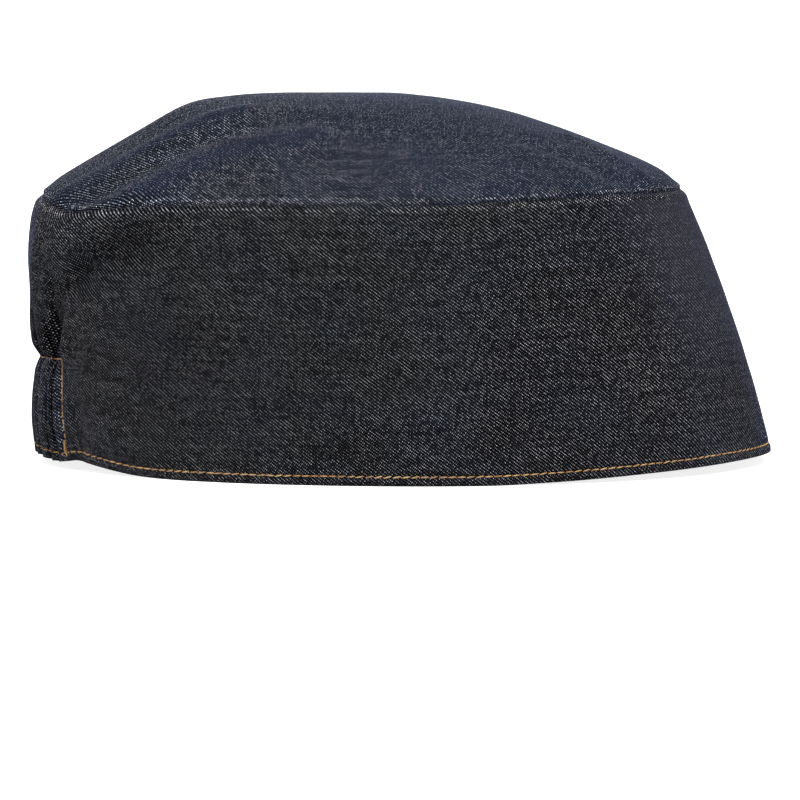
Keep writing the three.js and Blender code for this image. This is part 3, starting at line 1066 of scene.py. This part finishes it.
def crown_cloth(turn, inward):
    """The place on the flat cloth, whose grain bends with the seam where it is eased in."""
    plan = seam_point(turn).lerp(crown_peak, inward)
    ahead = clamp((plan.x - seam_middle) / (seam_length / 2), -cap_ends, cap_ends)
    edge_turn = math.acos(-ahead) / math.pi
    half_here = abs(slope_length(edge_turn, 0.0))
    half_middle = abs(slope_length(0.5, 0.0))
    aside = slope_length(turn, inward)
    most = most_bent * half_middle
    bent = most * math.tanh((half_middle - half_here) / most)
    near_edge = smoothstep(abs(aside) / half_here, 0.0, 0.5)
    return plan.x * slope_stretch, (aside + math.copysign(bent * near_edge, aside)) * eased


# Where the crown has a painted highlight, on its roll, and a painted bluish sheen, ahead and on folds this
# high.
crown_roll_place = 0.0011
crown_roll_reach = 0.0007
ahead_painted_sheen = 0.34
ahead_painted_sheen_place = (-0.055, 0.0)
fold_painted_sheen = 0.5
fold_for_full_sheen = 0.0014


def crown_fleck_light_and_painted_sheen(turn, inward):
    """Brighter flecks, a painted highlight where the crown's edge rolls over the seam; below 0, a
    painted bluish sheen that covers the weave ahead and along the folds."""
    plan = seam_point(turn).lerp(crown_peak, inward)
    # Painted sheen: a flat bluish colour covers the flecks ahead and along the ridges of the folds.
    ahead = ahead_painted_sheen * smoothstep(plan.x, *ahead_painted_sheen_place)
    on_folds = fold_painted_sheen * clamp(crown_fold_height(plan, inward) / fold_for_full_sheen) ** 2
    # Painted highlight: brighter flecks along the crown's roll at the seam.
    on_roll = near(from_crown_seam(turn, inward) - crown_roll_place, crown_roll_reach)
    return seam_patches(turn, 0.020, 0.7, 0.9, seed=(6.0, 2.0)) * on_roll - max(ahead, on_folds)


# Twelve of the grid's rows lie close together along the seam.
crown_columns = 400
crown_rows = 70
crown_turns = [(0.0, 0.0), (1.0, 2.0)]
crown_inwards = [(0.0, 0.0), (12 / crown_rows, 0.04), (1.0, 1.0)]
crown_bm = cloth_sheet(
    crown_columns,
    crown_rows,
    crown_turns,
    crown_inwards,
    surface=lambda turn, inward: crown_surface(wrapped(turn), inward),
    cloth_of=crown_cloth,
    fleck_light_and_painted_sheen=crown_fleck_light_and_painted_sheen,
    painted_shade=lambda turn, inward: 0.0,
)
# The crown's denim is the band's with lighter, bluer colours: a painted bluish sheen for the crown that
# faces up into the light.
crown_denim = denim_material(
    "crown_denim",
    warp=(0.0050, 0.0064, 0.0140),
    blue_patch=(0.0050, 0.0085, 0.0200),
    weft=(0.42, 0.43, 0.47),
    painted_sheen=(0.014, 0.018, 0.036),
    fleck=0.8,
    streak=1.8,
    unevenness=2.2,
    sheen=0.09,
    sheen_tint=(0.32, 0.48, 1.0),
)
crown_reverse = denim_material(
    "crown_reverse",
    warp=(0.16, 0.17, 0.2),
    blue_patch=(0.15, 0.165, 0.2),
    weft=(0.05, 0.055, 0.08),
    painted_sheen=(0.14, 0.15, 0.18),
    fleck=1.0,
    streak=0.8,
    unevenness=1.0,
    sheen=0.08,
    sheen_tint=(0.8, 0.85, 1.0),
)
crown = finish_cloth(
    "denim_crown_panel", crown_bm, crown_wall, 0.0003, [crown_denim, crown_reverse], inside_material=1
)
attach(crown, "root")
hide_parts("top_panel")

# Gathered back
# The casing at the bottom of the centre back: the band's denim folded over a flat elastic, which
# draws it up in narrow upright pleats between the stitches round it.
casing_wall = 0.0013

# How the casing's sides and top reach under the band and go down there, and how its stitches and
# small crumples shape it, in metres.
casing_underlap = 0.0014
casing_sink = 0.0015
sink_slope = (-0.0001, 0.0006)
casing_pull_reach = 0.0008
casing_hem_groove = 0.00025
crumple = dict(width=0.003, length=0.009, rise=0.00025)

# How full the pleats are at their flattest, and how the top line pinches them, as shares.
least_fullness = 0.45
pinch = 0.8
pinch_start = 0.86


def casing_surface(turn, height):
    """Outside of the casing, with its pleats drawn in at the rim and more along the top, and its
    sides and top laid under the band."""
    across = clamp(across_casing(turn))
    up = height / casing_top
    swollen = lerp(least_fullness, 1.0, math.sin(math.pi * min(up * 0.95 + 0.08, 1.0)))
    pinched = 1 - pinch * smoothstep(up, pinch_start, 1.0)
    rolled = pleat_depth * pleat_roll(across) * swollen * pinched
    crease = crease_depth * near_crease(across, crease_width) * (1 + swollen) / 2
    level = height * seam_height
    from_side = (casing_turn - abs(turn)) * side_metres
    inside = min(from_side, (casing_top - height) * seam_height)
    pulled = stitch_pull * near(max(inside, 0.0), casing_pull_reach)
    pulled += casing_hem_groove * near(level - hem_stitch_height, hem_groove_width)
    under = casing_sink * smoothstep(-inside, *sink_slope)
    waves = Vector((turn * half_girth / crumple["width"], level / crumple["length"], 5.0))
    crumpled = crumple["rise"] * noise.noise(waves)
    out = seam_height * blended(band_swell, "height", height, turn) + band_fold_height(turn, height)
    out += rolled - crease - pulled + crumpled - under
    return band_base(turn, height) + outward(turn, height) * out


def casing_painted_shade(turn, height):
    """Painted shade along the lines between two pleats, at half strength in the middle half of the
    casing."""
    deep = lerp(0.5, 1.0, smoothstep(abs(turn) / casing_turn, 0.5, 0.75))
    return deep * near_crease(clamp(across_casing(turn)), crease_shade_width)


casing_columns = 200
casing_rows = 52
casing_reach = casing_turn + casing_underlap / side_metres
casing_ceiling = casing_top + casing_underlap / seam_height
top_zone = 0.001
casing_turns = [(0.0, -casing_reach), (1.0, casing_reach)]
casing_heights = [
    (0.0, 0.0),
    (12 / casing_rows, hem_zone / seam_height),
    (44 / casing_rows, casing_top - top_zone / seam_height),
    (1.0, casing_ceiling),
]


gathered_fullness = 1.7


def casing_cloth(turn, height):
    """The place on the flat cloth, which is fuller than the casing is wide."""
    return arc_at(turn) * gathered_fullness, height * seam_height


casing_bm = cloth_sheet(
    casing_columns,
    casing_rows,
    casing_turns,
    casing_heights,
    surface=casing_surface,
    cloth_of=casing_cloth,
    fleck_light_and_painted_sheen=lambda turn, height: 0.0,
    painted_shade=casing_painted_shade,
)
# The casing's denim is the band's with lighter colours: painted light for the lit middles of its rolls.
casing_denim = denim_material(
    "casing_denim",
    warp=(0.0084, 0.0092, 0.0155),
    blue_patch=(0.0086, 0.0108, 0.0200),
    weft=(0.42, 0.42, 0.45),
    painted_sheen=(0.032, 0.034, 0.048),
    fleck=0.9,
    streak=2.0,
    unevenness=1.5,
    sheen=0.13,
    sheen_tint=(0.38, 0.50, 1.0),
)
casing = finish_cloth("denim_gathered_back", casing_bm, casing_wall, 0.0004, [casing_denim])
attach(casing, "root")
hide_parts("gathered_back")

# Topstitching
# Tan cotton-wrapped thread: one row along the rim, a row round the casing's sides and top, and a
# bar tack at the foot of each side. Each stitch is a short bulging length that dips at its ends.
rim_stitches = dict(pitch=0.0027, length=0.0025, lean=0.12)
casing_stitches = dict(pitch=0.0022, length=0.0021, lean=0.12)
side_stitches = dict(pitch=0.0021, length=0.0021, lean=0.1)
thread_width = 0.00042
thread_height = 0.00034
stitch_lift = 0.00010
row_wander = 0.00020
uneven_lean = 0.30
uneven_length = 0.06


def surface_path(places, surface):
    """Points and outward directions along a line of places on a surface."""
    path = []
    for turn, height in places:
        point = surface(turn, height)
        side = surface(turn + 2e-4, height) - surface(turn - 2e-4, height)
        rise = surface(turn, height + 2e-3) - surface(turn, height - 2e-3)
        path.append((point, side.cross(rise).normalized()))
    return path


def add_stitch(bm, middle, direction, normal, length, width, depth):
    """One stitch: a slim rounded length of thread that lies on the cloth."""
    across = normal.cross(direction).normalized()
    turned = Matrix((direction * length / 2, across * width / 2, normal * depth / 2)).transposed()
    place = Matrix.Translation(middle) @ turned.to_4x4()
    upright = Matrix.Rotation(math.pi / 2, 4, "Y")
    bmesh.ops.create_uvsphere(
        bm, u_segments=8, v_segments=6, radius=1.0, matrix=place @ upright, calc_uvs=True
    )


def stitch_row(bm, path, pitch, length, lean, seed):
    """Stitches one after another along a path, each leaning a little across the row."""
    lengths = [0.0]
    for before, after in zip(path, path[1:]):
        lengths.append(lengths[-1] + (after[0] - before[0]).length)
    count = max(round(lengths[-1] / pitch), 1)
    pitch = lengths[-1] / count

    def at(distance):
        i = 0
        while i < len(lengths) - 2 and lengths[i + 1] < distance:
            i += 1
        share = clamp((distance - lengths[i]) / (lengths[i + 1] - lengths[i]))
        return path[i][0].lerp(path[i + 1][0], share), path[i][1].lerp(path[i + 1][1], share).normalized()

    for number in range(count):
        middle, normal = at((number + 0.5) * pitch)
        ahead = at((number + 0.95) * pitch)[0]
        behind = at((number + 0.05) * pitch)[0]
        direction = (ahead - behind).normalized()
        chance = noise.noise(Vector((number * 0.77, seed, 1.3)))
        wander = noise.noise(Vector((number * 0.13, seed, 4.1)))
        across = normal.cross(direction).normalized()
        leaned_way = (direction + across * (lean + uneven_lean * chance)).normalized()
        place = middle + normal * stitch_lift + across * (row_wander * wander)
        long = length * (1 + uneven_length * chance)
        add_stitch(bm, place, leaned_way, normal, long, thread_width, thread_height)


def level_line(start, end, height, steps):
    """Places along a level line from one turn to another."""
    return [(wrapped(lerp(start, end, i / steps)), height) for i in range(steps + 1)]


def upright_line(turn, height, steps):
    """Places from the rim's stitches straight up to a height."""
    return [(turn, lerp(hem_share, height, i / steps)) for i in range(steps + 1)]


stitches = bmesh.new()
stitches.loops.layers.uv.new("UVMap")
hem_share = hem_stitch_height / seam_height
hem_line = level_line(casing_turn, 2 - casing_turn, hem_share, 700)
stitch_row(stitches, surface_path(hem_line, band_surface), **rim_stitches, seed=1.0)

casing_hem = level_line(-casing_turn, casing_turn, hem_share, 160)
stitch_row(stitches, surface_path(casing_hem, casing_surface), **casing_stitches, seed=2.0)
over_casing = 0.0001
top_share = casing_top + over_casing / seam_height
casing_top_line = level_line(-casing_turn, casing_turn, top_share, 160)
stitch_row(stitches, surface_path(casing_top_line, band_surface), **casing_stitches, seed=3.0)

for side in (-1, 1):
    side_line = upright_line(side * casing_turn, casing_top, 40)
    stitch_row(stitches, surface_path(side_line, band_surface), **side_stitches, seed=4.0 + side)

# A bar tack is a ladder of threads across the foot of each side row, slanted by turns.
tack_height = 0.0062
tack_width = 0.0042
tack_threads = 14
tack_shift = 0.0009
tack_turn = casing_turn + tack_shift / side_metres
tack_slant = 0.35
tack_lift = 0.0007
tack_thread = 0.0004
for side in (-1, 1):
    tack_line = upright_line(side * tack_turn, tack_height / seam_height, tack_threads)
    tack_path = surface_path(tack_line, band_surface)
    for number, (point, normal) in enumerate(tack_path):
        along_rim = normal.cross(Vector((0, 0, 1))).normalized()
        slant = tack_slant if number % 2 else -tack_slant
        direction = (along_rim + Vector((0, 0, slant))).normalized()
        middle = point + normal * tack_lift
        add_stitch(stitches, middle, direction, normal, tack_width, tack_thread, tack_thread)

for face in stitches.faces:
    face.smooth = True
stitch_mesh = bpy.data.meshes.new("tan_topstitching")
bmesh.ops.recalc_face_normals(stitches, faces=stitches.faces)
stitches.to_mesh(stitch_mesh)
stitches.free()

thread = bpy.data.materials.new("tan_thread")
thread.use_nodes = True
thread_tree = thread.node_tree
thread_link = thread_tree.links.new
thread_shader = thread_tree.nodes["Principled BSDF"]
thread_place = thread_tree.nodes.new("ShaderNodeTexCoord").outputs["Object"]
thread_tone = noise_node(thread_tree, thread_place, 260.0, detail=2.0)
thread_share = ramp(thread_tree, thread_tone.outputs["Fac"], 0.35, 0.65)
thread_colour = mixed_colour(thread_tree, thread_share, (0.34, 0.165, 0.04), (0.66, 0.39, 0.14))
thread_link(thread_colour, thread_shader.inputs["Base Color"])
thread_map = thread_tree.nodes.new("ShaderNodeUVMap").outputs[0]
thread_split = thread_tree.nodes.new("ShaderNodeSeparateXYZ")
thread_link(thread_map, thread_split.inputs[0])
# The plies wind round the thread: two turns round it and nine along it.
ply_turns = calc(thread_tree, "MULTIPLY", thread_split.outputs["Y"], 18 * math.pi)
ply_turns = calc(thread_tree, "MULTIPLY_ADD", thread_split.outputs["X"], 4 * math.pi, ply_turns)
twist = calc(thread_tree, "SINE", ply_turns)
thread_bump = thread_tree.nodes.new("ShaderNodeBump")
thread_bump.inputs["Strength"].default_value = 0.5
thread_bump.inputs["Distance"].default_value = 0.00006
thread_link(twist, thread_bump.inputs["Height"])
thread_link(thread_bump.outputs[0], thread_shader.inputs["Normal"])
thread_shader.inputs["Roughness"].default_value = 0.6
thread_shader.inputs["Sheen Weight"].default_value = 0.1
stitch_mesh.materials.append(thread)
topstitching = linked_object("tan_topstitching", stitch_mesh)
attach(topstitching, "root")
